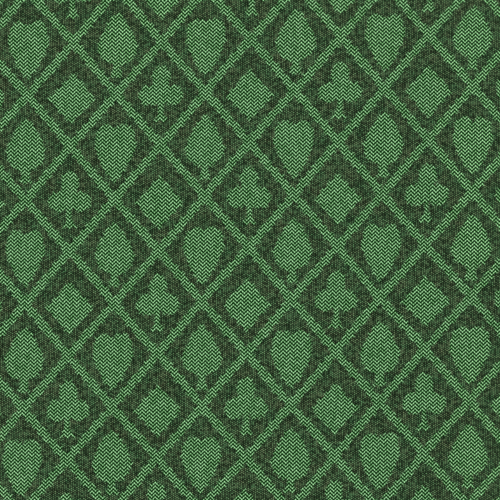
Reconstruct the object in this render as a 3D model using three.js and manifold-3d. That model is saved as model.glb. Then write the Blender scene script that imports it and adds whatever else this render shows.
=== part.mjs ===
// Folding poker table top, in millimetres, +Z up. It stands on ten rubber feet and opens out flat.
//
// Two halves meet at a seam along the Y axis. Each half is a plywood base panel inside a wooden
// skirt, with a cloth-covered deck in the middle and a padded rail round it that holds four cups.
// Pivot plates on the two long sides join the halves, with their pins just above the rail, so the
// right half swings up and over and comes to rest face down on the left one. Two swing hooks then
// catch studs on the other half, a handle on each end carries it, and two slide bolts under the
// seam lock it flat when it is open.
//
// The origin is the middle of the seam, on the surface that the feet stand on.

import * as THREE from "three";
import { mergeVertices } from "three/addons/utils/BufferGeometryUtils.js";
import Module from "manifold-3d";

const wasm = await Module();
wasm.setup();

// Plan of the whole top.
const LENGTH = 1800;
const WIDTH = 900;
const CORNER_RADIUS = 300;
const CORNER_STEPS = 10; // facets round each corner
const SEAM_GAP = 1; // between the two halves
const SEAM_WRAP = 1.5; // how far the layers that are wrapped in cloth or vinyl stop short of it
const FIT = 0.3; // between pieces that touch
const OVERSHOOT = 5; // how far a cutter runs past what it cuts

// Heights of the layers, from the feet up.
const FOOT_HEIGHT = 8;
const BASE_THICKNESS = 12;
const DECK_THICKNESS = 9;
const SURFACE_FOAM_THICKNESS = 5;
const CLOTH_THICKNESS = 0.9;
const CORE_THICKNESS = 17.7;
const BASE_TOP = FOOT_HEIGHT + BASE_THICKNESS;
const DECK_BOTTOM = BASE_TOP + FIT;
const SURFACE_FOAM_BOTTOM = DECK_BOTTOM + DECK_THICKNESS + FIT;
const CLOTH_BOTTOM = SURFACE_FOAM_BOTTOM + SURFACE_FOAM_THICKNESS + FIT;
const CORE_TOP = DECK_BOTTOM + CORE_THICKNESS;
const PAD_TOP = 59.4; // of the rail's foam
const PIVOT_HEIGHT = 63; // of the fold's axis

// Skirt and padded rail, measured inwards from the outline.
const SKIRT_THICKNESS = 14;
const SKIRT_TOP = 56;
const SKIRT_CHAMFER = 2.5;
const CLEAT_INSET = 20; // of the skirt's inner cleat, which the rail core butts against
const COVER_THICKNESS = 0.9;
const RAIL_WIDTH = 125;
const COVER_BOTTOM_OUTER = CORE_TOP + FIT; // where the cover is stapled to the cleat
const COVER_BOTTOM_INNER = BASE_TOP + 2; // where it is stapled to the core
const PAD_OUTER = SKIRT_THICKNESS + 2 * FIT + COVER_THICKNESS + FIT;
const PAD_INNER = RAIL_WIDTH - COVER_THICKNESS - FIT;
const DECK_INSET = RAIL_WIDTH + 1.5; // leaves room for the cloth that wraps round the deck

// Cup holders.
const CUPS_PER_HALF = 4;
const CUP_RADIUS = 39;
const CUP_WALL = 1;
const CUP_BOTTOM = 10;
const CUP_FLANGE_RADIUS = 45;
const CUP_FLANGE_THICKNESS = 1.2;
const CUP_TOP = PAD_TOP + FIT + COVER_THICKNESS + FIT + CUP_FLANGE_THICKNESS;
const CUP_HOLE_RADIUS = 41;
const CUP_SIDES = 16;
const CUP_INSET = (SKIRT_THICKNESS + RAIL_WIDTH) / 2;

// Feet, as [distance from the seam, distance across].
const FOOT_RADIUS = 15;
const FOOT_SIDES = 14;
const FEET = [
  [60, -340],
  [60, 340],
  [400, 0],
  [790, -110],
  [790, 110],
];

// Hinge at each end of the seam.
const PLATE_THICKNESS = 3;
const PLATE_LENGTH = 84;
const PLATE_START = 4;
const PLATE_BOTTOM = 14;
const PLATE_TOP = 50;
const PLATE_CORNER = 6;
const PLATE_ARC_STEPS = 8;
const EAR_RADIUS = 10;
const EAR_ANGLE = (20 * Math.PI) / 180; // below level, where the ear meets its arm
const ARM_END = 34;
const JOGGLE_START = 14;
const JOGGLE_END = 20;
const PIN_RADIUS = 4;
const PIN_HEAD_RADIUS = 7.5;
const PIN_HEAD_THICKNESS = 3;
const PIN_NUT_RADIUS = 6.3;
const PIN_NUT_THICKNESS = 4.5;

// Hardware on the end faces.
const STUD_PLATE = { width: 20, height: 15, thickness: 1.5 };
const STUD_ACROSS = 112; // from the middle of the end face
const STUD_HEIGHT = 48;
const STUD_RADIUS = 3;
const STUD_HEAD_RADIUS = 5.5;
const STUD_SHANK = 4.4;
const STUD_HEAD_THICKNESS = 1.6;
const HOOK_THICKNESS = 3;
const HOOK_REACH = 2 * (PIVOT_HEIGHT - STUD_HEIGHT); // from one stud to the other when folded
const HOOK_EYE_RADIUS = 7.5;
const HOOK_ARM_WIDTH = 8;
const HANDLE = { width: 124, drop: 34, bar: 12, thickness: 9, corner: 9 };
const HANDLE_AXIS = { out: 8, height: 46 }; // from the end face, and from the floor
const HANDLE_PIN_RADIUS = 3;
const HANDLE_PIN_LENGTH = 8;
const BRACKET = { width: 12, height: 16, depth: 13, flange: 24, flangeThickness: 2 };

// Slide bolts under the seam.
const BOLT_ACROSS = 200;
const BOLT = { start: 5, length: 89, width: 14, thickness: 3, bottom: 3.5 };
const BOLT_KNOB = { at: 57, radius: 4.5, drop: 2.6 }; // its place is measured from the seam
const GUIDE_PLATE = { width: 34, thickness: 0.8 };
const GUIDE_STRAP = { width: 18.8, length: 12, bottom: 2.2 };
const GUIDE_SPAN = [10, 80];
const GUIDE_STRAPS = [12, 62];
const KEEPER_SPAN = [7, 27];
const KEEPER_STRAPS = [10];

const QUARTER = Math.PI / 2;

// ---- Joining and cutting ----

function solidOf(geometry) {
  const bare = geometry.clone();
  bare.deleteAttribute("normal");
  bare.deleteAttribute("uv");
  const merged = mergeVertices(bare, 1e-4);
  return new wasm.Manifold(
    new wasm.Mesh({
      numProp: 3,
      vertProperties: merged.attributes.position.array,
      triVerts: new Uint32Array(merged.index.array),
    }),
  );
}

function geometryOf(solid) {
  const mesh = solid.getMesh();
  return new THREE.BufferGeometry()
    .setAttribute("position", new THREE.BufferAttribute(mesh.vertProperties, 3))
    .setIndex(new THREE.BufferAttribute(mesh.triVerts, 1));
}

function union(...geometries) {
  return geometryOf(geometries.map(solidOf).reduce((all, next) => all.add(next)));
}

function cut(geometry, ...cutters) {
  return geometryOf(
    cutters.map(solidOf).reduce((all, next) => all.subtract(next), solidOf(geometry)),
  );
}

function common(a, b) {
  return geometryOf(solidOf(a).intersect(solidOf(b)));
}

// ---- Basic shapes ----

// A box between two corners.
function block([x0, y0, z0], [x1, y1, z1]) {
  return new THREE.BoxGeometry(x1 - x0, y1 - y0, z1 - z0).translate(
    (x0 + x1) / 2,
    (y0 + y1) / 2,
    (z0 + z1) / 2,
  );
}

// A round bar between two distances along an axis, through the point given by the other two.
function rod(axis, radius, from, to, at, sides = 12) {
  const bar = new THREE.CylinderGeometry(radius, radius, to - from, sides);
  const middle = (from + to) / 2;
  if (axis === "x") return bar.rotateZ(QUARTER).translate(middle, at[0], at[1]);
  if (axis === "y") return bar.translate(at[0], middle, at[1]);
  return bar.rotateX(QUARTER).translate(at[0], at[1], middle);
}

function extrude(shape, depth, arcSteps) {
  return new THREE.ExtrudeGeometry(shape, {
    depth,
    bevelEnabled: false,
    curveSegments: arcSteps / 2, // three.js doubles this on an arc
  });
}

// A flat shape drawn in X and Y, raised from one height to another.
function slab(shape, bottom, top, arcSteps = 2) {
  return extrude(shape, top - bottom, arcSteps).translate(0, 0, bottom);
}

// A flat shape drawn in X and Z, with its thickness along Y.
function sidePlate(shape, from, to, arcSteps) {
  return extrude(shape, to - from, arcSteps).rotateX(QUARTER).translate(0, to, 0);
}

// A flat shape drawn in Y and Z, with its thickness along X.
function endPlate(shape, from, to, arcSteps) {
  return extrude(shape, to - from, arcSteps)
    .rotateZ(QUARTER)
    .rotateY(QUARTER)
    .translate(from, 0, 0);
}

function roundedRectangle(x0, y0, x1, y1, radius) {
  return new THREE.Shape()
    .moveTo(x0 + radius, y0)
    .lineTo(x1 - radius, y0)
    .absarc(x1 - radius, y0 + radius, radius, -QUARTER, 0)
    .absarc(x1 - radius, y1 - radius, radius, 0, QUARTER)
    .absarc(x0 + radius, y1 - radius, radius, QUARTER, 2 * QUARTER)
    .absarc(x0 + radius, y0 + radius, radius, 2 * QUARTER, 3 * QUARTER);
}

// ---- The plan of one half ----
// A half is drawn with X running out from the seam. Its group turns it to its own side.

const SEAM_X = SEAM_GAP / 2;
const WRAPPED_X = SEAM_X + SEAM_WRAP;

// One half's outline, moved inwards on its three outer sides.
function halfOutline(inset, start = SEAM_X) {
  const x = LENGTH / 2 - inset;
  const y = WIDTH / 2 - inset;
  const r = CORNER_RADIUS - inset;
  return new THREE.Shape()
    .moveTo(start, -y)
    .lineTo(x - r, -y)
    .absarc(x - r, r - y, r, -QUARTER, 0)
    .absarc(x - r, y - r, r, 0, QUARTER)
    .lineTo(start, y);
}

// The outer edge of one half as a path: straight, corner, end, corner, straight.
class EdgePath extends THREE.Curve {
  constructor(start) {
    super();
    const x = LENGTH / 2 - CORNER_RADIUS;
    const y = WIDTH / 2 - CORNER_RADIUS;
    const corner = (cy, first) =>
      Array.from({ length: CORNER_STEPS + 1 }, (_, i) => {
        const a = first + (QUARTER * i) / CORNER_STEPS;
        return {
          point: new THREE.Vector3(
            x + CORNER_RADIUS * Math.cos(a),
            cy + CORNER_RADIUS * Math.sin(a),
            0,
          ),
          tangent: new THREE.Vector3(-Math.sin(a), Math.cos(a), 0),
        };
      });
    this.stations = [
      { point: new THREE.Vector3(start, -WIDTH / 2, 0), tangent: new THREE.Vector3(1, 0, 0) },
      ...corner(-y, -QUARTER),
      ...corner(y, 0),
      { point: new THREE.Vector3(start, WIDTH / 2, 0), tangent: new THREE.Vector3(-1, 0, 0) },
    ];
    this.steps = this.stations.length - 1;
  }
  at(u) {
    return this.stations[Math.round(u * this.steps)];
  }
  getPoint(t) {
    return this.at(t).point.clone();
  }
  getPointAt(u) {
    return this.at(u).point.clone();
  }
  getTangentAt(u) {
    return this.at(u).tangent.clone();
  }
}

// A section, as points [distance in from the outline, height], swept round one half's edge.
function edgeSweep(section, start = SEAM_X) {
  // The swept section's first axis points down and its second one inwards.
  const shape = new THREE.Shape(section.map(([inwards, z]) => new THREE.Vector2(-z, inwards)));
  const path = new EdgePath(start);
  return new THREE.ExtrudeGeometry(shape, {
    steps: path.steps,
    bevelEnabled: false,
    extrudePath: path,
  });
}

// Where the cups stand: evenly spaced along the middle of the rail.
function cupPlaces() {
  const r = CORNER_RADIUS - CUP_INSET;
  const straight = LENGTH / 2 - CORNER_RADIUS;
  const arc = r * QUARTER;
  const end = WIDTH - 2 * CORNER_RADIUS;
  const total = 2 * straight + 2 * arc + end;
  const places = [];
  for (let i = 0; i < CUPS_PER_HALF / 2; i++) {
    const along = (total * (i + 0.5)) / CUPS_PER_HALF;
    const angle = Math.max(0, along - straight) / r - QUARTER;
    const x = Math.min(along, straight) + r * Math.cos(angle);
    const y = end / 2 - r * Math.sin(angle);
    places.push([x, -y], [x, y]);
  }
  return places;
}

const CUPS = cupPlaces();

function cupHoles(bottom, top) {
  return CUPS.map((at) =>
    rod("z", CUP_HOLE_RADIUS, bottom - OVERSHOOT, top + OVERSHOOT, at, CUP_SIDES),
  );
}

// ---- Panels and layers of one half ----

function basePanel() {
  const outline = halfOutline(SKIRT_THICKNESS + FIT);
  const panel = slab(outline, FOOT_HEIGHT, BASE_TOP, CORNER_STEPS);
  return cut(panel, ...cupHoles(FOOT_HEIGHT, BASE_TOP));
}

function deckLayer(inset, start, bottom, thickness) {
  return slab(halfOutline(inset, start), bottom, bottom + thickness, CORNER_STEPS);
}

function skirt() {
  const c = SKIRT_CHAMFER;
  return edgeSweep([
    [0, FOOT_HEIGHT],
    [SKIRT_THICKNESS, FOOT_HEIGHT],
    [SKIRT_THICKNESS, DECK_BOTTOM],
    [CLEAT_INSET, DECK_BOTTOM],
    [CLEAT_INSET, CORE_TOP],
    [SKIRT_THICKNESS, CORE_TOP],
    [SKIRT_THICKNESS, SKIRT_TOP - c],
    [SKIRT_THICKNESS - c, SKIRT_TOP],
    [c, SKIRT_TOP],
    [0, SKIRT_TOP - c],
  ]);
}

function railCore() {
  const core = edgeSweep(
    [
      [CLEAT_INSET + FIT, DECK_BOTTOM],
      [PAD_INNER, DECK_BOTTOM],
      [PAD_INNER, CORE_TOP],
      [CLEAT_INSET + FIT, CORE_TOP],
    ],
    WRAPPED_X,
  );
  return cut(core, ...cupHoles(DECK_BOTTOM, CORE_TOP));
}

// The top of the pad, from its outer side over to its inner side, grown outwards.
function padTop(grow) {
  const outer = PAD_OUTER - grow;
  const inner = PAD_INNER + grow;
  const top = PAD_TOP + grow;
  const shoulder = 12 + grow; // radius at the skirt
  const nose = 15 + grow; // radius over the playing surface
  return new THREE.Path()
    .absarc(outer + shoulder, top - shoulder, shoulder, 2 * QUARTER, QUARTER, true)
    .absarc(inner - nose, top - nose, nose, QUARTER, 0, true)
    .getPoints(2)
    .map((p) => [p.x, p.y]);
}

function railFoam() {
  const bottom = CORE_TOP + FIT;
  const foam = edgeSweep([[PAD_OUTER, bottom], ...padTop(0), [PAD_INNER, bottom]], WRAPPED_X);
  return cut(foam, ...cupHoles(bottom, PAD_TOP));
}

// Open underneath, and closed at the seam, where it is wrapped over the end of the pad.
function railCover() {
  const section = (grow, below) => [
    [PAD_OUTER - grow, COVER_BOTTOM_OUTER - below],
    ...padTop(grow),
    [PAD_INNER + grow, COVER_BOTTOM_INNER - below],
    [CLEAT_INSET + FIT, COVER_BOTTOM_INNER - below],
    [CLEAT_INSET + FIT, COVER_BOTTOM_OUTER - below],
  ];
  const outside = edgeSweep(section(FIT + COVER_THICKNESS, 0));
  const inside = edgeSweep(section(FIT, OVERSHOOT), SEAM_X + COVER_THICKNESS);
  return cut(outside, inside, ...cupHoles(CORE_TOP, CUP_TOP));
}

function cup() {
  const inner = CUP_RADIUS - CUP_WALL;
  const under = CUP_TOP - CUP_FLANGE_THICKNESS;
  const round = 3; // at the foot of the wall
  const profile = [
    [0, CUP_BOTTOM],
    [CUP_RADIUS - round, CUP_BOTTOM],
    [CUP_RADIUS, CUP_BOTTOM + round],
    [CUP_RADIUS, under],
    [CUP_FLANGE_RADIUS, under],
    [CUP_FLANGE_RADIUS, CUP_TOP],
    [inner, CUP_TOP],
    [inner, CUP_BOTTOM + CUP_WALL + round],
    [inner - round, CUP_BOTTOM + CUP_WALL],
    [0, CUP_BOTTOM + CUP_WALL],
  ].map(([r, z]) => new THREE.Vector2(r, z));
  return new THREE.LatheGeometry(profile, CUP_SIDES).rotateX(QUARTER);
}

function foot() {
  const profile = [
    [0, 0],
    [FOOT_RADIUS - 3, 0],
    [FOOT_RADIUS, FOOT_HEIGHT - FIT],
    [0, FOOT_HEIGHT - FIT],
  ].map(([r, z]) => new THREE.Vector2(r, z));
  return new THREE.LatheGeometry(profile, FOOT_SIDES).rotateX(QUARTER);
}

// ---- Hinge ----

// The side view of a pivot plate: a body on the skirt and an ear round the pin above the seam.
function plateOutline() {
  const end = PLATE_START + PLATE_LENGTH;
  const c = PLATE_CORNER;
  const shape = new THREE.Shape()
    .moveTo(PLATE_START + c, PLATE_BOTTOM)
    .lineTo(end - c, PLATE_BOTTOM)
    .absarc(end - c, PLATE_BOTTOM + c, c, -QUARTER, 0)
    .absarc(end - c, PLATE_TOP - c, c, 0, QUARTER)
    .lineTo(ARM_END, PLATE_TOP)
    .absarc(0, PIVOT_HEIGHT, EAR_RADIUS, -EAR_ANGLE, 2 * QUARTER + EAR_ANGLE)
    .lineTo(PLATE_START, PLATE_TOP - 2 * c)
    .absarc(PLATE_START + c, PLATE_BOTTOM + c, c, 2 * QUARTER, 3 * QUARTER);
  return shape;
}

// On the front side. The inner plate is flat; the outer one steps out, to pass over the other's ear.
function pivotPlate(stepsOut) {
  const near = -WIDTH / 2 - FIT;
  const far = near - PLATE_THICKNESS;
  const step = PLATE_THICKNESS + FIT;
  const hole = rod("y", PIN_RADIUS + FIT, far - 2 * step, near + OVERSHOOT, [0, PIVOT_HEIGHT]);
  const outline = plateOutline();
  if (!stepsOut) return cut(sidePlate(outline, far, near, PLATE_ARC_STEPS), hole);
  const plan = new THREE.Shape(
    [
      [-2 * EAR_RADIUS, near - step],
      [JOGGLE_START, near - step],
      [JOGGLE_END, near],
      [2 * PLATE_LENGTH, near],
      [2 * PLATE_LENGTH, far],
      [JOGGLE_END - 1, far],
      [JOGGLE_START - 1, far - step],
      [-2 * EAR_RADIUS, far - step],
    ].map(([x, y]) => new THREE.Vector2(x, y)),
  );
  const stepped = slab(plan, 0, 2 * PIVOT_HEIGHT);
  const profile = sidePlate(outline, far - 2 * step, near + 1, PLATE_ARC_STEPS);
  return cut(common(stepped, profile), hole);
}

function pivotPin() {
  const inside = -WIDTH / 2;
  const outside = inside - 2 * PLATE_THICKNESS - 3 * FIT;
  const at = [0, PIVOT_HEIGHT];
  return union(
    rod("y", PIN_RADIUS, outside - 1, inside + 1, at),
    rod("y", PIN_NUT_RADIUS, inside, inside + PIN_NUT_THICKNESS, at, 6),
    rod("y", PIN_HEAD_RADIUS, outside - PIN_HEAD_THICKNESS, outside, at, 16),
  );
}

// ---- Hooks, studs and handles, on the end face ----

const END_X = LENGTH / 2 + FIT;

// A screwed plate with a headed stud: a hook turns on one, and catches on another.
function studPlate() {
  const { width, height, thickness } = STUD_PLATE;
  const face = END_X + thickness;
  const at = [0, STUD_HEIGHT];
  return union(
    endPlate(
      roundedRectangle(-width / 2, STUD_HEIGHT - height / 2, width / 2, STUD_HEIGHT + height / 2, 3),
      END_X,
      face,
      2,
    ),
    rod("x", STUD_RADIUS, face - thickness / 2, face + STUD_SHANK + 0.5, at),
    rod("x", STUD_HEAD_RADIUS, face + STUD_SHANK, face + STUD_SHANK + STUD_HEAD_THICKNESS, at),
  );
}

// Hangs from its stud. Its notch opens towards +Y.
function hook() {
  const back = END_X + STUD_PLATE.thickness + (STUD_SHANK - HOOK_THICKNESS) / 2;
  const front = back + HOOK_THICKNESS;
  const tip = STUD_HEIGHT - HOOK_REACH;
  const clear = STUD_RADIUS + FIT;
  const half = HOOK_ARM_WIDTH / 2;
  return cut(
    union(
      rod("x", HOOK_EYE_RADIUS, back, front, [0, STUD_HEIGHT]),
      rod("x", HOOK_EYE_RADIUS, back, front, [0, tip]),
      block([back, -half, tip], [front, half, STUD_HEIGHT]),
    ),
    rod("x", clear, back - 1, front + 1, [0, STUD_HEIGHT]),
    rod("x", clear, back - 1, front + 1, [0, tip]),
    block([back - 1, 0, tip - clear], [front + 1, 2 * HOOK_EYE_RADIUS, tip + clear]),
  );
}

// A bail that hangs down in front of the end face, on two stub pins.
function handle() {
  const { width, drop, bar, thickness, corner } = HANDLE;
  const y = width / 2;
  const top = HANDLE_AXIS.height + bar / 2;
  const bottom = HANDLE_AXIS.height - drop;
  const shape = new THREE.Shape()
    .moveTo(-y, top)
    .lineTo(-y, bottom + corner)
    .absarc(corner - y, bottom + corner, corner, 2 * QUARTER, 3 * QUARTER)
    .absarc(y - corner, bottom + corner, corner, -QUARTER, 0)
    .lineTo(y, top)
    .lineTo(y - bar, top)
    .lineTo(y - bar, bottom + bar)
    .lineTo(bar - y, bottom + bar)
    .lineTo(bar - y, top);
  const middle = LENGTH / 2 + HANDLE_AXIS.out;
  const at = [middle, HANDLE_AXIS.height];
  return union(
    endPlate(shape, middle - thickness / 2, middle + thickness / 2, 4),
    rod("y", HANDLE_PIN_RADIUS, y - 1, y + HANDLE_PIN_LENGTH, at),
    rod("y", HANDLE_PIN_RADIUS, -y - HANDLE_PIN_LENGTH, 1 - y, at),
  );
}

// Holds the handle's pin on the +Y side.
function handleBracket() {
  const { width, height, depth, flange, flangeThickness } = BRACKET;
  const y = HANDLE.width / 2 + 2 * FIT;
  const bottom = HANDLE_AXIS.height - height / 2;
  const top = bottom + height;
  const centre = END_X + depth - height / 2;
  const nose = new THREE.Shape()
    .moveTo(END_X, bottom)
    .lineTo(centre, bottom)
    .absarc(centre, HANDLE_AXIS.height, height / 2, -QUARTER, QUARTER)
    .lineTo(END_X, top);
  const bore = [LENGTH / 2 + HANDLE_AXIS.out, HANDLE_AXIS.height];
  return cut(
    union(
      sidePlate(nose, y, y + width, 8),
      block([END_X, y + 1, bottom], [END_X + flangeThickness, y + flange, top]),
    ),
    rod("y", HANDLE_PIN_RADIUS + FIT, y - 1, y + width + 1, bore),
  );
}

// ---- Slide bolts ----

function bolt() {
  const { start, length, width, thickness, bottom } = BOLT;
  const bar = roundedRectangle(start, -width / 2, start + length, width / 2, 3);
  return union(
    slab(bar, bottom, bottom + thickness),
    rod("z", BOLT_KNOB.radius, bottom - BOLT_KNOB.drop, bottom + 1, [BOLT_KNOB.at, 0]),
  );
}

// A plate under the base panel, with straps that the bolt slides through.
function boltGuide([from, to], straps) {
  const top = FOOT_HEIGHT - FIT;
  const plateBottom = top - GUIDE_PLATE.thickness;
  const strapHalf = GUIDE_STRAP.width / 2;
  const channelHalf = BOLT.width / 2 + FIT;
  return cut(
    union(
      slab(
        roundedRectangle(from, -GUIDE_PLATE.width / 2, to, GUIDE_PLATE.width / 2, 3),
        plateBottom,
        top,
      ),
      ...straps.map((x) =>
        block(
          [x, -strapHalf, GUIDE_STRAP.bottom],
          [x + GUIDE_STRAP.length, strapHalf, top - GUIDE_PLATE.thickness / 2],
        ),
      ),
    ),
    block(
      [from - 1, -channelHalf, BOLT.bottom - FIT],
      [to + 1, channelHalf, plateBottom],
    ),
  );
}

// ---- Materials ----

function material(color, roughness, metalness = 0) {
  return new THREE.MeshStandardMaterial({ color, roughness, metalness });
}

const PLYWOOD = material(0x2b2623, 0.6);
const WOOD = material(0x4a2a1b, 0.4);
const BOARD = material(0xa98f6d, 0.8);
const FOAM = material(0x3b3c3e, 0.95);
const CLOTH = material(0x42603f, 0.85);
const LEATHERETTE = material(0x17171a, 0.45);
const STEEL = material(0xb8babd, 0.25, 1);
const BLACK_STEEL = material(0x26272a, 0.45, 1);
const RUBBER = material(0x1a1a1b, 0.8);
const PLASTIC = material(0x1d1d1f, 0.5);

// ---- Assembly ----

const top = new THREE.Group();

function add(group, name, geometry, look) {
  const mesh = new THREE.Mesh(geometry, look);
  mesh.name = name;
  group.add(mesh);
  return mesh;
}

// Puts front and back copies of a piece drawn for the back (+Y) side, or the other way about.
function addPair(group, name, geometry, look, drawnFor = 1) {
  for (const [side, word] of [
    [-1, "front"],
    [1, "back"],
  ]) {
    add(group, `${name.replace("SIDE", word)}`, geometry, look).scale.y = side * drawnFor;
  }
}

function makeHalf(word, side) {
  const half = new THREE.Group();
  half.scale.x = side;
  add(half, `${word}_base_panel`, basePanel(), PLYWOOD);
  const deck = deckLayer(DECK_INSET, WRAPPED_X, DECK_BOTTOM, DECK_THICKNESS);
  add(half, `${word}_deck_board`, deck, BOARD);
  const foam = deckLayer(DECK_INSET, WRAPPED_X, SURFACE_FOAM_BOTTOM, SURFACE_FOAM_THICKNESS);
  add(half, `${word}_surface_foam`, foam, FOAM);
  const cloth = deckLayer(RAIL_WIDTH + FIT, SEAM_X, CLOTH_BOTTOM, CLOTH_THICKNESS);
  add(half, `${word}_speed_cloth`, cloth, CLOTH);
  add(half, `${word}_skirt`, skirt(), WOOD);
  add(half, `${word}_rail_core`, railCore(), BOARD);
  add(half, `${word}_rail_foam`, railFoam(), FOAM);
  add(half, `${word}_rail_cover`, railCover(), LEATHERETTE);
  CUPS.forEach(([x, y], i) => {
    add(half, `${word}_cup_holder_${i + 1}`, cup(), STEEL).position.set(x, y, 0);
  });
  FEET.forEach(([x, y], i) => {
    add(half, `${word}_foot_${i + 1}`, foot(), RUBBER).position.set(x, y, 0);
  });
  add(half, `${word}_handle`, handle(), PLASTIC);
  addPair(half, `${word}_SIDE_handle_bracket`, handleBracket(), PLASTIC);
  top.add(half);
  return half;
}

const left = makeHalf("left", -1);
const right = makeHalf("right", 1);

// The hinge: flat plates and the pins are on the left half, stepped plates on the right one.
addPair(left, "SIDE_inner_pivot_plate", pivotPlate(false), BLACK_STEEL, -1);
addPair(right, "SIDE_outer_pivot_plate", pivotPlate(true), BLACK_STEEL, -1);
addPair(left, "SIDE_pivot_pin", pivotPin(), STEEL, -1);

for (const [side, word] of [
  [-1, "front"],
  [1, "back"],
]) {
  const catches = new THREE.Group();
  catches.position.y = side * STUD_ACROSS;
  catches.scale.y = side;
  add(catches, `${word}_hook_plate`, studPlate(), STEEL);
  add(catches, `${word}_swing_hook`, hook(), STEEL);
  left.add(catches);
  const keeper = new THREE.Group();
  keeper.position.y = side * STUD_ACROSS;
  add(keeper, `${word}_catch_stud`, studPlate(), STEEL);
  right.add(keeper);

  add(left, `${word}_bolt_guide`, boltGuide(GUIDE_SPAN, GUIDE_STRAPS), STEEL).position.y =
    side * BOLT_ACROSS;
  add(left, `${word}_slide_bolt`, bolt(), BLACK_STEEL).position.y = side * BOLT_ACROSS;
  add(right, `${word}_bolt_keeper`, boltGuide(KEEPER_SPAN, KEEPER_STRAPS), STEEL).position.y =
    side * BOLT_ACROSS;
}

export default top;
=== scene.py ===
"""The looks of a folding poker table top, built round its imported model.

Everything is in metres, in the model's own frame: X runs along the top, Z is up, and the origin is
the middle of the seam, on the surface that the feet stand on.
"""

import math
from functools import partialmethod

import bmesh
import bpy
from mathutils import Matrix, Vector, noise


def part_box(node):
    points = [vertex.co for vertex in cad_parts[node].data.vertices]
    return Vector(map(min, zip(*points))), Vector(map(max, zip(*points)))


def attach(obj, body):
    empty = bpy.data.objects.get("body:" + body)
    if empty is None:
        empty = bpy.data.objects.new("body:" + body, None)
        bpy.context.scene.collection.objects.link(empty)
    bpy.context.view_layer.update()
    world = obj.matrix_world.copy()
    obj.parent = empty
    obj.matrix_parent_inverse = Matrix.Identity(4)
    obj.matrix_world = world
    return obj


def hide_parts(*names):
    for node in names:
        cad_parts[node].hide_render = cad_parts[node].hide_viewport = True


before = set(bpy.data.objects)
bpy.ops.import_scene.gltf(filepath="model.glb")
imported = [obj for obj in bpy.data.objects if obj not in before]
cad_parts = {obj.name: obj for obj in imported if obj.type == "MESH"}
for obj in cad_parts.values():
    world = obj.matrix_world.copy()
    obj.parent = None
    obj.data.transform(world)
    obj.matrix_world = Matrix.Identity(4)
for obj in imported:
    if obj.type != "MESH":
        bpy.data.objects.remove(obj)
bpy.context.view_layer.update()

MM = 0.001
SIDES = {"left": -1, "right": 1}
ENDS = {"front": -1, "back": 1}

# ---- Places and sizes, taken from the frame ----

HALF_LENGTH = -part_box("left_skirt")[0].x
HALF_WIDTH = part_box("left_skirt")[1].y
SKIRT_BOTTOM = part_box("left_skirt")[0].z
SKIRT_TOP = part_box("left_skirt")[1].z
SEAM_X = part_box("right_skirt")[0].x
BASE_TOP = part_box("left_base_panel")[1].z
CORE_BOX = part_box("right_rail_core")
CLOTH_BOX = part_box("right_speed_cloth")
COVER_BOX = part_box("right_rail_cover")
CLOTH_TOP = CLOTH_BOX[1].z

CORNER_RADIUS = 300 * MM
SKIRT_THICKNESS = 14 * MM
CLEAT_INSET = 20 * MM  # of the step inside the skirt that the rail core butts against
RAIL_INNER = HALF_WIDTH - CLOTH_BOX[1].y  # how far in the playing surface starts
PAD_OUTER = HALF_WIDTH - COVER_BOX[1].y
FIT = 0.3 * MM  # between pieces that touch
DOWN = (0, 0, -1)


def middle_of(node):
    low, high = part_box(node)
    return (low + high) / 2


def add(name, data):
    """Puts a new object in the scene."""
    made = bpy.data.objects.new(name, data)
    bpy.context.scene.collection.objects.link(made)
    return made


# ---- Camera ----

LENS = 85
SENSOR = 36
VIEW_WIDTH = 215 * MM  # of cloth across the picture


def make_camera():
    data = bpy.data.cameras.new("camera")
    data.lens = LENS
    data.sensor_width = SENSOR
    data.clip_start = 10 * MM
    data.clip_end = 100
    camera = add("camera", data)
    distance = VIEW_WIDTH * LENS / SENSOR
    centre = middle_of("left_speed_cloth")
    camera.location = (centre.x, centre.y, CLOTH_TOP + distance)
    bpy.context.scene.camera = camera
    return centre


view_centre = make_camera()

# ---- Formulas for materials ----


def linear(red, green, blue):
    """An sRGB colour, 0 to 255, as the linear one that a shader takes."""
    channels = [c / 255 for c in (red, green, blue)]
    return (*[c / 12.92 if c <= 0.04045 else ((c + 0.055) / 1.055) ** 2.4 for c in channels], 1)


def feed(tree, socket, value):
    """Gives a socket a constant, a Value or another node's output."""
    if isinstance(value, Value):
        value = value.socket
    if isinstance(value, bpy.types.NodeSocket):
        tree.links.new(value, socket)
    else:
        socket.default_value = value


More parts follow.
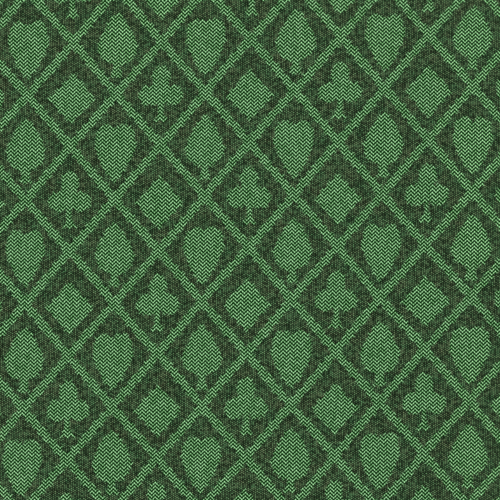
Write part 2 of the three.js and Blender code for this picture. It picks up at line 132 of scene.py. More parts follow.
class Value:
    """A number that varies over a surface, made of shader nodes, for use in ordinary sums."""

    def __init__(self, tree, socket):
        self.tree = tree
        self.socket = socket

    def math(self, operation, *others, clamp=False):
        node = self.tree.nodes.new("ShaderNodeMath")
        node.operation = operation
        node.use_clamp = clamp
        for socket, value in zip(node.inputs, (self, *others)):
            feed(self.tree, socket, value)
        return Value(self.tree, node.outputs[0])

    __add__ = __radd__ = partialmethod(math, "ADD")
    __sub__ = partialmethod(math, "SUBTRACT")
    __mul__ = __rmul__ = partialmethod(math, "MULTIPLY")
    __truediv__ = partialmethod(math, "DIVIDE")
    __lt__ = partialmethod(math, "LESS_THAN")
    __gt__ = partialmethod(math, "GREATER_THAN")
    __abs__ = partialmethod(math, "ABSOLUTE")
    floor = partialmethod(math, "FLOOR")
    round = partialmethod(math, "ROUND")
    least = partialmethod(math, "MINIMUM")
    most = partialmethod(math, "MAXIMUM")
    sine = partialmethod(math, "SINE")
    cosine = partialmethod(math, "COSINE")
    root = partialmethod(math, "SQRT")
    power = partialmethod(math, "POWER")
    fold = partialmethod(math, "PINGPONG")  # goes up to a length and back down, over and over
    odd = partialmethod(math, "PINGPONG", 1)  # 1 where a whole number is odd, and 0 if even
    clamped = partialmethod(math, "ADD", 0, clamp=True)

    def __rsub__(self, other):
        return self * -1 + other

    def step(self, low, high):
        """Rises smoothly from 0 at low to 1 at high."""
        node = self.tree.nodes.new("ShaderNodeMapRange")
        node.interpolation_type = "SMOOTHSTEP"
        for name, value in (("Value", self), ("From Min", low), ("From Max", high)):
            feed(self.tree, node.inputs[name], value)
        return Value(self.tree, node.outputs["Result"])


def select(which, yes, no):
    """yes where which is 1, and no where it is 0."""
    return no + which * (yes - no)


class Material:
    """A Principled material whose colour, roughness and relief are made of Values."""

    def __init__(self, name, metallic=0.0, roughness=0.5, **constants):
        self.data = bpy.data.materials.new(name)
        self.data.use_nodes = True
        self.tree = self.data.node_tree
        self.shader = self.tree.nodes["Principled BSDF"]
        self.shader.inputs["Metallic"].default_value = metallic
        self.shader.inputs["Roughness"].default_value = roughness
        for socket, value in constants.items():
            self.shader.inputs[socket.replace("_", " ")].default_value = value

    def node(self, kind, **settings):
        made = self.tree.nodes.new(kind)
        for key, value in settings.items():
            setattr(made, key, value)
        return made

    def place(self):
        """The point's X, Y and Z in the piece's own frame, in millimetres."""
        return self.parts(self.node("ShaderNodeTexCoord").outputs["Object"])

    def grain(self):
        """The point's place along, up and into a piece that bends, in millimetres."""
        return self.parts(self.node("ShaderNodeAttribute", attribute_name="grain").outputs["Vector"])

    def parts(self, vector):
        scale = self.node("ShaderNodeVectorMath", operation="SCALE")
        feed(self.tree, scale.inputs["Scale"], 1 / MM)
        feed(self.tree, scale.inputs[0], vector)
        split = self.node("ShaderNodeSeparateXYZ")
        feed(self.tree, split.inputs[0], scale.outputs[0])
        return [Value(self.tree, socket) for socket in split.outputs]

    def texture(self, node, output, place, **inputs):
        """A texture's output at a place of two or three Values."""
        join = self.node("ShaderNodeCombineXYZ")
        for socket, value in zip(join.inputs, place):
            feed(self.tree, socket, value)
        for name, value in inputs.items():
            feed(self.tree, node.inputs[name], value)
        feed(self.tree, node.inputs["Vector"], join.outputs[0])
        return Value(self.tree, node.outputs[output])

    def noise(self, place, size, detail=2.0, roughness=0.5):
        """Soft noise from 0 to 1, with blobs of about that size, in millimetres."""
        node = self.node("ShaderNodeTexNoise")
        return self.texture(node, "Fac", place, Scale=1 / size, Detail=detail, Roughness=roughness)

    def random(self, column, row):
        """A random number from 0 to 1 for each pair of whole numbers."""
        node = self.node("ShaderNodeTexWhiteNoise", noise_dimensions="2D")
        return self.texture(node, "Value", (column, row))

    def cells(self, place, size, feature="F1"):
        """The distance from the middle of the nearest cell, of about that size, in millimetres."""
        node = self.node("ShaderNodeTexVoronoi", feature=feature)
        return self.texture(node, "Distance", place, Scale=1 / size)

    def blend(self, share, low, high):
        """A colour that goes from low to high, each a colour or a blend, with share."""
        mix = self.node("ShaderNodeMix", data_type="RGBA")
        for i, value in (("Factor", share), (6, low), (7, high)):
            feed(self.tree, mix.inputs[i], value)
        return mix.outputs[2]

    def finish(self, color, roughness=None, relief=None, depth=0.1):
        """relief runs from 0 to 1, and depth is what 1 stands for, in millimetres."""
        feed(self.tree, self.shader.inputs["Base Color"], color)
        if roughness is not None:
            feed(self.tree, self.shader.inputs["Roughness"], roughness)
        if relief is not None:
            bump = self.node("ShaderNodeBump")
            feed(self.tree, bump.inputs["Distance"], depth * MM)
            feed(self.tree, bump.inputs["Height"], relief)
            feed(self.tree, self.shader.inputs["Normal"], bump.outputs[0])
        return self.data


# ---- The speed cloth: a jacquard weave, in millimetres ----

REPEAT_X = 38.35  # from one heart to the spade beside it
REPEAT_Y = 45.0
SKEW_X = 0.013  # how far the ends and picks lean from square
SKEW_Y = 0.018
YARN_X = 0.755  # from one end of the warp to the next
WEAVE_Y = 1.556  # from one row of the herringbone to the next
BAND = 0.06  # half width of the diagonal bands, as a share of the repeat
PATTERN_X = -20.0  # of a heart's middle, from the middle of the left half's cloth
PATTERN_Y = 0.5


def heart(x, y):
    """1 inside. The suits are drawn about their own middle, in millimetres, with Y up."""
    side = abs(x)
    lobes = ((side - 3.7) * (side - 3.7) + (y - 4.9) * (y - 4.9)) < 4.4**2
    body = (side < (8.7 - (y - 1.2).most(0) * 0.2)) * (y < 5.2)
    return lobes.most(body) * (y > (side * 0.69 + side * side * 0.12 - 15.4))


def spade(x, y):
    side = abs(x)
    leaf = (y < (12.6 - side * 0.6 - side * side * 0.117)) * (y > -2.3)
    foot = (side * side / 8.3**2 + (y + 2.3) * (y + 2.3) / 7.8**2) < 1
    stem = (side < ((-12 - y).most(0) * 0.3 + 1.7)) * (y < -8) * (y > -15.4)
    return leaf.most(foot).most(stem)


def diamond(x, y):
    return (abs(x) / 10.3 + abs(y + 2.0) / 11.3) < 1


def club(x, y):
    side = abs(x)
    crown = (side * side / 3.9**2 + (y - 7.0) * (y - 7.0) / 5.2**2) < 1
    lobes = ((side - 4.7) * (side - 4.7) + (y + 1.0) * (y + 1.0)) < 4.6**2
    middle = (side < 3.4) * (y < 7) * (y > -3)
    stem = (side < ((-8.2 - y).most(0) * 0.5 + 1.0)) * (y < -3) * (y > -12.4)
    return crown.most(lobes).most(middle).most(stem)


def motif(x, y):
    """1 on the bands and suits of the pattern, at a place in millimetres from a heart's middle."""
    u = x / REPEAT_X
    v = y / REPEAT_Y
    down = u - v - 0.5
    up = u + v - 0.5
    band = abs(down - down.round()).least(abs(up - up.round())) < BAND
    near_u = u.round()
    near_v = v.round()
    is_first = (abs(u - near_u) + abs(v - near_v)) < 0.5
    low_u = u.floor()
    low_v = v.floor()
    column = select(is_first, near_u, low_u)
    row = select(is_first, near_v, low_v)
    shift = (1 - is_first) * 0.5
    inside_x = (u - column - shift) * REPEAT_X
    inside_y = (v - row - shift) * REPEAT_Y
    second = abs(column + row).odd()
    first_suit = select(second, spade(inside_x, inside_y), heart(inside_x, inside_y))
    other_suit = select(second, diamond(inside_x, inside_y), club(inside_x, inside_y))
    return band.most(select(is_first, first_suit, other_suit))


def cloth_material():
    """Light floats in a herringbone make the pattern, on a finer, darker ground. The shade in the gaps
    between threads and the highlight on the floats' crowns are painted into the colour.
    """
    made = Material("speed_cloth", roughness=0.95, Specular_IOR_Level=0.06)
    x, y, _ = made.grain()
    x = x - (view_centre.x / MM + PATTERN_X)
    y = y - (view_centre.y / MM + PATTERN_Y)
    # The cloth is never woven or stretched quite true.
    x, y = x - y * SKEW_X, y - x * SKEW_Y
    x = x + (made.noise((x, y), 55, 1) - 0.5) * 2.4
    y = y + (made.noise((y, x), 65, 1) - 0.5) * 2.4
    # Each end of the warp shows once in a row, and the rows climb and fall from end to end.
    end = (x / YARN_X).floor()
    across = x / YARN_X - end
    rows = y / WEAVE_Y - (x / (2 * YARN_X)).fold(1)
    row = rows.floor()
    inside = rows - row
    end_middle = (end + 0.5) * YARN_X
    row_middle = (row + (end_middle / (2 * YARN_X)).fold(1) + 0.5) * WEAVE_Y
    shown = motif(end_middle, row_middle)
    each = made.random(end, row)
    # Partly the yarn's own colour and partly painted shade and highlight: each float is painted palest
    # at its crown and darker towards its ends and edges, where it dips into the cloth.
    across_row = (inside * (2 * math.pi)).cosine() * -0.5 + 0.5
    along_row = (across * (2 * math.pi)).cosine() * 0.36 + 0.73
    float_shape_and_shade = (across_row.power(2.4) * along_row * (each * 0.5 + 0.86)).clamped()
    # The blend starts at near black, which is painted shade between the floats. It rises through the
    # yarn's green to pale green at the crown, which is partly painted highlight.
    lower = made.blend((float_shape_and_shade * 2).clamped(), linear(0, 30, 0), linear(66, 125, 62))
    motif_color = made.blend((float_shape_and_shade * 2 - 1).clamped(), lower, linear(198, 253, 192))
    # The ground is a plain weave of finer threads, each of a slightly different tint, with painted
    # shade, near black, in the gaps between the threads.
    along_end = y / (WEAVE_Y / 2) + end.odd() * 0.5
    pick = along_end.floor()
    thread = made.random(end * 3 + 7, pick)
    thread_tint = made.random(pick, end + 11)
    ends = (across * (2 * math.pi)).cosine() * -0.5 + 0.5
    picks = (along_end * (2 * math.pi)).cosine() * -0.5 + 0.5
    cloud = made.noise((x, y), 7, 3, 0.6)
    tint = (thread_tint * 0.45 + cloud * 1.7 - 0.55).clamped()
    light = made.blend(tint, linear(131, 151, 107), linear(106, 163, 108))
    # Painted shade: lightest where the threads cross over and near black between them, on top of each
    # thread's own tint.
    fine = (ends * 0.8 + picks * 1.15 + thread * 0.62 - 1.19).clamped()
    ground = made.blend(fine.power(1.9), linear(3, 10, 2), light)
    color = made.blend(shown, ground, motif_color)
    relief = select(shown, float_shape_and_shade, fine * 0.3 + 0.1)
    return made.finish(color, relief=relief, depth=0.08)


def vinyl_material():
    made = Material("rail_vinyl", Specular_IOR_Level=0.36)
    place = made.place()
    grain = made.cells(place, 1.5, "SMOOTH_F1")
    pores = made.noise(place, 0.5, 2)
    broad = made.noise(place, 60, 3)
    relief = grain * 0.75 + pores * 0.25
    color = made.blend(grain.step(0.1, 0.7), linear(20, 20, 21), linear(31, 31, 32))
    rough = 0.38 + broad * 0.14 + grain * 0.08
    return made.finish(color, roughness=rough, relief=relief, depth=0.22)


def wood_material():
    made = Material("skirt_wood", Coat_Weight=0.35, Coat_Roughness=0.22)
    along, up, depth = made.grain()
    bend = made.noise((along / 9, up), 14, 2)
    rings = made.noise((along / 60, up + depth * 0.6 + bend * 16), 4.5, 3, 0.55).step(0.36, 0.62)
    fibre = made.noise((along / 26, up * 1.6, depth * 1.6), 0.9, 4, 0.6)
    pores = made.noise((along / 10, up * 3, depth * 3), 0.7, 2).step(0.6, 0.72)
    tone = rings * 0.45 + fibre * 0.55
    color = made.blend(tone, linear(48, 26, 16), linear(112, 64, 38))
    color = made.blend(pores * 0.6, color, linear(26, 14, 9))
    rough = 0.34 + fibre * 0.2
    return made.finish(color, roughness=rough, relief=fibre * 0.7 - pores * 0.3 + 0.3, depth=0.12)


def laminate_material():
    """Black film on the faces, and bare plies where the panel is cut."""
    made = Material("laminate", Specular_IOR_Level=0.45)
    x, y, z = made.place()
    pebble = made.cells((x, y, z), 1.1, "SMOOTH_F1")
    speck = made.noise((x, y, z), 0.6, 2)
    scuff = made.noise((x, y / 14, z), 3.5, 5, 0.65).step(0.63, 0.72)
    broad = made.noise((x, y, z), 90, 3)
    color = made.blend(pebble.step(0.1, 0.8), linear(23, 23, 25), linear(38, 38, 40))
    color = made.blend(scuff * 0.25, color, linear(70, 70, 70))
    rough = 0.42 + broad * 0.16 + scuff * 0.15
    return made.finish(color, roughness=rough, relief=pebble * 0.8 + speck * 0.2, depth=0.16)


def board_material():
    made = Material("board", roughness=0.75)
    x, y, z = made.place()
    ply = (z * (math.pi / 1.5)).sine().step(-0.15, 0.15)
    fibre = made.noise((x / 18, y, z), 0.9, 4, 0.6)
    tone = ply * 0.55 + fibre * 0.45
    color = made.blend(tone, linear(140, 104, 66), linear(206, 174, 128))
    return made.finish(color, relief=fibre, depth=0.15)


def foam_material():
    made = Material("foam", roughness=0.95, Specular_IOR_Level=0.2)
    place = made.place()
    pores = made.cells(place, 1.2)
    color = made.blend(pores.step(0.1, 0.8), linear(70, 70, 72), linear(32, 32, 34))
    return made.finish(color, relief=1 - pores, depth=0.4)


def cup_steel_material():
    """Spun steel: the brush marks are rings about the cup's axis."""
    made = Material("cup_steel", metallic=1.0)
    x, y, z = made.place()
    radius = (x * x + y * y).root()
    rings = made.noise((radius, z, 0), 0.35, 3, 0.6)
    broad = made.noise((x, y, z), 14, 2)
    color = made.blend(rings, linear(176, 178, 181), linear(222, 223, 225))
    rough = 0.2 + rings * 0.14 + broad * 0.08
    return made.finish(color, roughness=rough, relief=rings, depth=0.012)


def steel_material():
    made = Material("steel", metallic=1.0)
    x, y, z = made.place()
    brushed = made.noise((x, y / 20, z / 3), 0.5, 3, 0.6)
    broad = made.noise((x, y, z), 9, 2)
    color = made.blend(brushed, linear(164, 166, 170), linear(214, 215, 218))
    rough = 0.24 + brushed * 0.16 + broad * 0.08
    return made.finish(color, roughness=rough, relief=brushed, depth=0.012)


def black_steel_material():
    """Powder coat, with its fine orange peel."""
    made = Material("black_steel", metallic=0.0, Specular_IOR_Level=0.5)
    place = made.place()
    peel = made.noise(place, 0.8, 2)
    rub = made.noise(place, 5, 5, 0.7).step(0.64, 0.72)
    color = made.blend(peel, linear(24, 24, 26), linear(38, 38, 41))
    color = made.blend(rub * 0.3, color, linear(96, 96, 98))
    rough = 0.38 + peel * 0.15
    return made.finish(color, roughness=rough, relief=peel, depth=0.06)


def rubber_material():
    made = Material("rubber", Specular_IOR_Level=0.3)
    place = made.place()
    speck = made.noise(place, 0.7, 3)
    dust = made.noise(place, 6, 4, 0.6).step(0.5, 0.8)
    color = made.blend(speck, linear(22, 22, 23), linear(40, 40, 41))
    color = made.blend(dust * 0.3, color, linear(88, 86, 82))
    rough = 0.72 + dust * 0.2
    return made.finish(color, roughness=rough, relief=speck, depth=0.08)


def plastic_material():
    made = Material("handle_plastic", Specular_IOR_Level=0.45)
    place = made.place()
    spark = made.cells(place, 0.6, "SMOOTH_F1")
    broad = made.noise(place, 12, 2)
    color = made.blend(spark, linear(20, 20, 21), linear(36, 36, 38))
    rough = 0.42 + spark * 0.12 + broad * 0.08
    return made.finish(color, roughness=rough, relief=spark, depth=0.06)


def thread_material():
    """A two-ply twist along each stitch, with painted shade in the grooves between the plies and their
    crowns painted lighter.
    """
    made = Material("thread", roughness=0.6)
    x, y, z = made.place()
    twist = ((x + y + z) * (2 * math.pi / 0.9)).sine() * 0.5 + 0.5
    # Painted shade and highlight: the colour follows the twist's relief, dark in the grooves and light
    # on the crowns.
    color = made.blend(twist, linear(38, 60, 40), linear(96, 132, 94))
    return made.finish(color, relief=twist, depth=0.1)


def floor_material():
    made = Material("floor", roughness=0.85, Specular_IOR_Level=0.2)
    x, y, z = made.place()
    broad = made.noise((x, y, z), 900, 2)
    near = made.blend(broad, linear(212, 212, 210), linear(219, 219, 218))
    far = (x * x + y * y).root().step(1500, 6000)
    return made.finish(made.blend(far, near, linear(249, 249, 248)))


CLOTH = cloth_material()
VINYL = vinyl_material()
WOOD = wood_material()
LAMINATE = laminate_material()
BOARD = board_material()
FOAM = foam_material()
CUP_STEEL = cup_steel_material()
STEEL = steel_material()
BLACK_STEEL = black_steel_material()
RUBBER = rubber_material()
PLASTIC = plastic_material()
THREAD = thread_material()

# ---- Meshes ----


def mesh_of(name, rings, open_start=False, grain=None):
    """A skin over closed rings of points, capped at its ends. grain is a place for each point."""
    count = len(rings[0])
    last = (len(rings) - 1) * count
    faces = []
    for start in range(0, last, count):
        for i in range(count):
            j = (i + 1) % count
            faces.append((start + i, start + j, start + count + j, start + count + i))
    if not open_start:
        faces.append(tuple(reversed(range(count))))
    faces.append(tuple(range(last, last + count)))
    mesh = bpy.data.meshes.new(name)
    mesh.from_pydata([p for ring in rings for p in ring], [], faces)
    if grain:
        layer = mesh.attributes.new("grain", "FLOAT_VECTOR", "POINT")
        layer.data.foreach_set("vector", [c for place in grain for c in place])
    return tidy(mesh)


def tidy(mesh):
    """Faces out, no doubled points, and smooth except at sharp edges."""
    work = bmesh.new()
    work.from_mesh(mesh)
    bmesh.ops.remove_doubles(work, verts=work.verts, dist=1e-6)
    bmesh.ops.recalc_face_normals(work, faces=work.faces)
    work.to_mesh(mesh)
    work.free()
    return shaded(mesh)


def shaded(mesh):
    """Smooth, except at edges of more than 38 degrees."""
    mesh.shade_smooth()
    mesh.set_sharp_from_angle(angle=math.radians(38))
    return mesh


def piece(mesh, material, body, stands_for=(), place=(0, 0, 0)):
    made = add(mesh.name, mesh)
    made.location = place
    if not mesh.materials:
        mesh.materials.append(material)
    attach(made, body)
    if stands_for:
        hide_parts(*stands_for)
    return made


def lathe(name, profile, sides=64):
    """Turns a profile of (radius, height) about Z. It starts and ends on the axis."""
    rings = [[(*spot, height) for spot in circle((0, 0), r, sides)] for r, height in profile[1:-1]]
    return mesh_of(name, rings)


def circle(centre, radius, sides, start=0):
    """Points round a circle, as (x, y) pairs, from an angle in degrees."""
    turn = [math.radians(start + 360 * i / sides) for i in range(sides)]
    return [(centre[0] + radius * math.cos(a), centre[1] + radius * math.sin(a)) for a in turn]


def arc(centre, radius, start, end, steps):
    """Points on an arc, as (x, y) pairs, with its angles in degrees."""
    angles = [math.radians(start + (end - start) * i / steps) for i in range(steps + 1)]
    return [(centre[0] + radius * math.cos(a), centre[1] + radius * math.sin(a)) for a in angles]


# ---- The edge of a half ----

CORNER_LENGTH = CORNER_RADIUS * math.pi / 2
STRAIGHT = HALF_LENGTH - CORNER_RADIUS - SEAM_X
END_LENGTH = 2 * (HALF_WIDTH - CORNER_RADIUS)
EDGE_LENGTH = 2 * STRAIGHT + 2 * CORNER_LENGTH + END_LENGTH


def on_edge(along):
    """The point and the way in, at a distance along the right half's edge from the seam's front."""
    middle = HALF_WIDTH - CORNER_RADIUS
    corner_x = HALF_LENGTH - CORNER_RADIUS
    if along > EDGE_LENGTH / 2:
        spot, inwards = on_edge(EDGE_LENGTH - along)
        return Vector((spot.x, -spot.y)), Vector((inwards.x, -inwards.y))
    if along <= STRAIGHT:
        return Vector((SEAM_X + along, -HALF_WIDTH)), Vector((0, 1))
    if along <= STRAIGHT + CORNER_LENGTH:
        a = (along - STRAIGHT) / CORNER_RADIUS - math.pi / 2
        out = Vector((math.cos(a), math.sin(a)))
        return Vector((corner_x, -middle)) + out * CORNER_RADIUS, -out
    return Vector((HALF_LENGTH, -middle + along - STRAIGHT - CORNER_LENGTH)), Vector((-1, 0))


def edge_stops(step, corner_steps):
    """Distances along the edge: about a step apart where it is straight, and closer on a corner."""
    stops = [0.0]
    straight = (STRAIGHT, round(STRAIGHT / step))
    corner = (CORNER_LENGTH, corner_steps)
    for length, count in (straight, corner, (END_LENGTH, round(END_LENGTH / step)), corner, straight):
        begin = stops[-1]
        stops += [begin + length * (i + 1) / count for i in range(count)]
    return stops


def half_loop(inset, start, height, side, corner_steps=32):
    """A half's closed outline, moved in by inset from its outer edge, at one height."""
    x = HALF_LENGTH - inset
    y = HALF_WIDTH - inset
    radius = CORNER_RADIUS - inset
    plan = [(start, -y)]
    plan += arc((x - radius, radius - y), radius, -90, 0, corner_steps)
    plan += arc((x - radius, y - radius), radius, 0, 90, corner_steps)
    plan += [(start, y)]
    return [(side * px, py, height) for px, py in plan]


# ---- Panels, foam and cloth ----


def rounded_slab(name, side, inset, start, low, high, rim):
    """A flat layer of one half, with its edges rounded by rim."""
    edge = arc((rim, low + rim), rim, 270, 180, 3) + arc((rim, high - rim), rim, 180, 90, 3)
    return mesh_of(name, [half_loop(inset + pull, start + pull, z, side) for pull, z in edge])


def make_cloth(word, side):
    """Stretched over the deck, and turned down at the rail and over the seam's edge."""
    turned = 14 * MM
    radius = 3.2 * MM
    seam = SEAM_X + 0.15 * MM  # the two halves' cloths don't quite touch
    rings = [half_loop(RAIL_INNER, seam, CLOTH_TOP - turned, side)]
    flat = [half_loop(RAIL_INNER - turned + radius, seam - turned + radius, 0, side)]
    for angle in range(0, 91, 15):
        a = math.radians(angle)
        pull = radius * (1 - math.cos(a))
        height = CLOTH_TOP - radius * (1 - math.sin(a))
        laid = radius * (a - math.pi / 2 + 1)
        rings.append(half_loop(RAIL_INNER + pull, seam + pull, height, side))
        flat.append(half_loop(RAIL_INNER + laid, seam + laid, 0, side))
    for inner in (20 * MM, 40 * MM):
        rings.append(half_loop(RAIL_INNER + inner, seam + inner, CLOTH_TOP, side))
        flat.append(half_loop(RAIL_INNER + inner, seam + inner, 0, side))
    grain = [p for ring in flat for p in ring]
    mesh = mesh_of(f"{word}_cloth", rings, open_start=True, grain=grain)
    made = piece(mesh, CLOTH, f"{word}_half", [f"{word}_speed_cloth"])
    thicken(made, 0.8 * MM)
    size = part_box(f"{word}_speed_cloth")[1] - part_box(f"{word}_speed_cloth")[0]
    flat = (size.x + 2 * turned, size.y + 2 * turned)


def thicken(made, thickness):
    """Gives a skin a thickness, inwards."""
    solid = made.modifiers.new("thickness", "SOLIDIFY")
    solid.thickness = thickness
    solid.offset = -1
    apply_modifiers(made)


def apply_modifiers(made):
    depsgraph = bpy.context.evaluated_depsgraph_get()
    depsgraph.update()
    done = bpy.data.meshes.new_from_object(made.evaluated_get(depsgraph))
    done.name = made.name
    made.modifiers.clear()
    made.data = done


for word, side in SIDES.items():
    make_cloth(word, side)

# ---- The padded rail ----

CUPS = {(word, i): middle_of(f"{word}_cup_holder_{i}") for word in SIDES for i in range(1, 5)}
RIGHT_CUPS = [Vector((CUPS["right", i].x, CUPS["right", i].y)) for i in range(1, 5)]
CUP_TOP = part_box("right_cup_holder_1")[1].z
CUP_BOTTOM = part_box("right_cup_holder_1")[0].z
FLANGE_RADIUS = (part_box("right_cup_holder_1")[1].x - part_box("right_cup_holder_1")[0].x) / 2
CUP_HOLE = 41 * MM
PAD_TOP = COVER_BOX[1].z
PAD_BOTTOM = CORE_BOX[1].z + FIT
PAD_INNER = RAIL_INNER - FIT
WRAP_BOTTOM = COVER_BOX[0].z
SHOULDER = 13 * MM  # radius of the pad's outer edge
NOSE = 17 * MM  # and of its inner one
SEAM_DEPTH = 2.4 * MM
SEAM_WIDTH = 1.7 * MM
SEAM_SLOPE_DEPTH = 1.3 * MM
SEAM_SLOPE = 15 * MM
CROWN = 2 * MM  # how far the stuffing lifts the middle of the pad
CUP_SLOPE = 34 * MM  # how far from a cup's rim the pad is drawn down
CUP_DIP = 0.2 * MM  # below flat, at the rim
FOOT_HEIGHT = (PAD_TOP - PAD_BOTTOM) / 2.5
SIDE_SWELL = 0.25 * MM  # at most, so that the pad stays inside its skirt
LUMPS = 0.3 * MM
GATHERS = 0.55 * MM
GATHER_PITCH = 5.2 * MM
GATHERED_FROM = 0.72  # of the way across the pad
CORNER_MIDDLES = [STRAIGHT + CORNER_LENGTH / 2, EDGE_LENGTH - STRAIGHT - CORNER_LENGTH / 2]
# Where the cover's panels are sewn together, along a half's edge from the front of the seam.
SEWN_AT = [
    STRAIGHT,
    STRAIGHT + CORNER_LENGTH,
    STRAIGHT + CORNER_LENGTH + END_LENGTH,
    STRAIGHT + 2 * CORNER_LENGTH + END_LENGTH,
]


def bell(distance, width):
    return math.exp(-((distance / width) ** 2))


def seam_distance(along):
    return min(abs(along - at) for at in SEWN_AT)


def pad_profile(pull):
    """The pad's outline from its outer foot, over the top, to its inner foot, as (inset, z, nx, nz).

    pull is how far the outline shrinks, at an end.
    """
    outer = PAD_OUTER + 0.45 * pull
    inner = PAD_INNER - 0.45 * pull
    top = PAD_TOP - pull
    points = [(outer, PAD_BOTTOM + t * (top - SHOULDER - PAD_BOTTOM) / 3, -1, 0) for t in range(3)]
    for x, z in arc((0, 0), 1, 180, 90, 8):
        points.append((outer + SHOULDER * (1 + x), top - SHOULDER * (1 - z), x, z))
    left, right = outer + SHOULDER, inner - NOSE
    points += [(left + (right - left) * i / 22, top, 0, 1) for i in range(1, 22)]
    for x, z in arc((0, 0), 1, 90, 0, 10):
        points.append((inner - NOSE * (1 - x), top - NOSE * (1 - z), x, z))
    return points


def smooth(share):
    """Eases from 0 to 1."""
    share = min(max(share, 0), 1)
    return share * share * (3 - 2 * share)


def pad_swell(along, inset, spot, facing_up):
    """How far the stuffed pad stands out from its plain outline there, in metres."""
    across = (inset - PAD_OUTER) / (PAD_INNER - PAD_OUTER)
    from_cup = min((centre - spot).length for centre in RIGHT_CUPS) - FLANGE_RADIUS - 1 * MM
    free = smooth(from_cup / CUP_SLOPE)
    swell = CROWN * (1 - (2 * across - 1) ** 2) * free - (1 - free) * CUP_DIP * facing_up
    sewn = seam_distance(along)
    drawn = SEAM_DEPTH * bell(sewn, SEAM_WIDTH) + SEAM_SLOPE_DEPTH * bell(sewn, SEAM_SLOPE)
    swell -= drawn * (0.35 + 0.65 * facing_up)
    where = Vector((spot.x, spot.y, 0))
    swell += LUMPS * noise.noise(where * 14) * free * facing_up
    # The cover is drawn in round the inside of a corner.
    off_middle = min(abs(along - middle) for middle in CORNER_MIDDLES)
    gathered = max(0, 1 - off_middle / (CORNER_LENGTH / 2)) ** 0.5
    gathered *= max(0, across - GATHERED_FROM) / (1 - GATHERED_FROM)
    ripple = math.sin(along / GATHER_PITCH + 2.4 * noise.noise(where * 9))
    ripple *= 0.6 + 0.4 * noise.noise(where * 31)
    return swell + GATHERS * gathered * ripple * (1 - 0.5 * facing_up)


def pad_surface(along, pull=0):
    """The pad's swollen outline at a place along the edge, as points of (spot, z)."""
    spot, inwards = on_edge(along)
    surface = []
    for inset, z, nx, nz in pad_profile(pull):
        ground = spot + inwards * inset
        # The swell grows from nothing at the pad's foot.
        grow = pad_swell(along, inset, ground, max(nz, 0)) * min(1, (z - PAD_BOTTOM) / FOOT_HEIGHT)
        surface.append((ground + inwards * nx * min(grow, SIDE_SWELL), z + nz * grow))
    return surface


def pad_places():
    """Distances along the edge for the pad's rings, close together at its seams. make_pad adds
    those at its ends.
    """
    near = [i * 0.8 * MM for i in range(-10, 11)]
    marks = {round(at + offset, 6) for at in SEWN_AT for offset in near}
    count = round(EDGE_LENGTH / (7 * MM))
    for i in range(count + 1):
        at = EDGE_LENGTH * i / count
        if seam_distance(at) > 9 * MM:
            marks.add(round(at, 6))
    return sorted(m for m in marks if 8 * MM < m < EDGE_LENGTH - 8 * MM)


def make_pad(word, side):
    """The stuffed cover. At the seam's edge it wraps down over the end of the core."""
    ends = [(0.0, 4.2, True), (0.6 * MM, 2.4, True), (1.2 * MM, 1.5, True), (1.42 * MM, 1.3, False)]
    ends += [(2.4 * MM, 0.6, False), (3.6 * MM, 0.15, False), (5.4 * MM, 0, False)]
    stops = [(at, pull * MM, wraps) for at, pull, wraps in ends]
    stops += [(at, 0, False) for at in pad_places()]
    stops += [(EDGE_LENGTH - at, pull * MM, wraps) for at, pull, wraps in reversed(ends)]
    rings = []
    lip = PAD_INNER - 0.9 * MM
    core_edge = CLEAT_INSET + 2 * FIT
    for at, pull, wraps in stops:
        spot, inwards = on_edge(at)
        under = WRAP_BOTTOM if wraps else PAD_BOTTOM
        foot = [(PAD_INNER, WRAP_BOTTOM), (lip, WRAP_BOTTOM), (lip, under), (core_edge, under)]
        foot.append((core_edge - 0.1 * MM, PAD_BOTTOM))
        ring = pad_surface(at, pull) + [(spot + inwards * inset, z) for inset, z in foot]
        rings.append([(side * p.x, p.y, z) for p, z in ring])
    mesh = mesh_of(f"{word}_rail_pad", rings)
    stands_for = [f"{word}_rail_foam", f"{word}_rail_cover"]
    made = piece(mesh, VINYL, f"{word}_half", stands_for)
    bore_cups(made, word, PAD_BOTTOM - 9 * MM, PAD_TOP + 9 * MM)


def cut_away(made, cutter_mesh):
    """Takes a solid out of a piece, and uses it up."""
    cutter = add("cutter", cutter_mesh)
    cut = made.modifiers.new("cut", "BOOLEAN")
    cut.operation = "DIFFERENCE"
    cut.solver = "EXACT"
    cut.object = cutter
    apply_modifiers(made)
    shaded(made.data)
    bpy.data.objects.remove(cutter)
    bpy.data.meshes.remove(cutter_mesh)


def bore_cups(made, word, low, high):
    """Cuts the four upright holes that a half's cups drop into."""
    for i in range(1, 5):
        ring = circle((CUPS[word, i].x, CUPS[word, i].y), CUP_HOLE, 72)
        cut_away(made, mesh_of("cutter", [[(x, y, z) for x, y in ring] for z in (low, high)]))


def stitch(start, end, radius):
    """A stitch, which dips into the cover at its ends."""
    way = (end - start).normalized()
    flat = Vector((0, 0, 1)).cross(way).normalized()
    up = way.cross(flat)
    length = (end - start).length
    half = [(0, 0.35, -1.2), (0.12, 0.85, -0.3), (0.3, 1, 0.1)]
    rings = []
    for share, size, lift in half + [(1 - share, size, lift) for share, size, lift in reversed(half)]:
        centre = start + way * (length * share) + up * (radius * lift)
        rings.append([centre + flat * x + up * y for x, y in circle((0, 0), radius * size, 6)])
    return mesh_of("stitch", rings)


def join(name, meshes):
    """One mesh from several, which are used up."""
    work = bmesh.new()
    for mesh in meshes:
        work.from_mesh(mesh)
        bpy.data.meshes.remove(mesh)
    joined = bpy.data.meshes.new(name)
    work.to_mesh(joined)
    work.free()
    return shaded(joined)


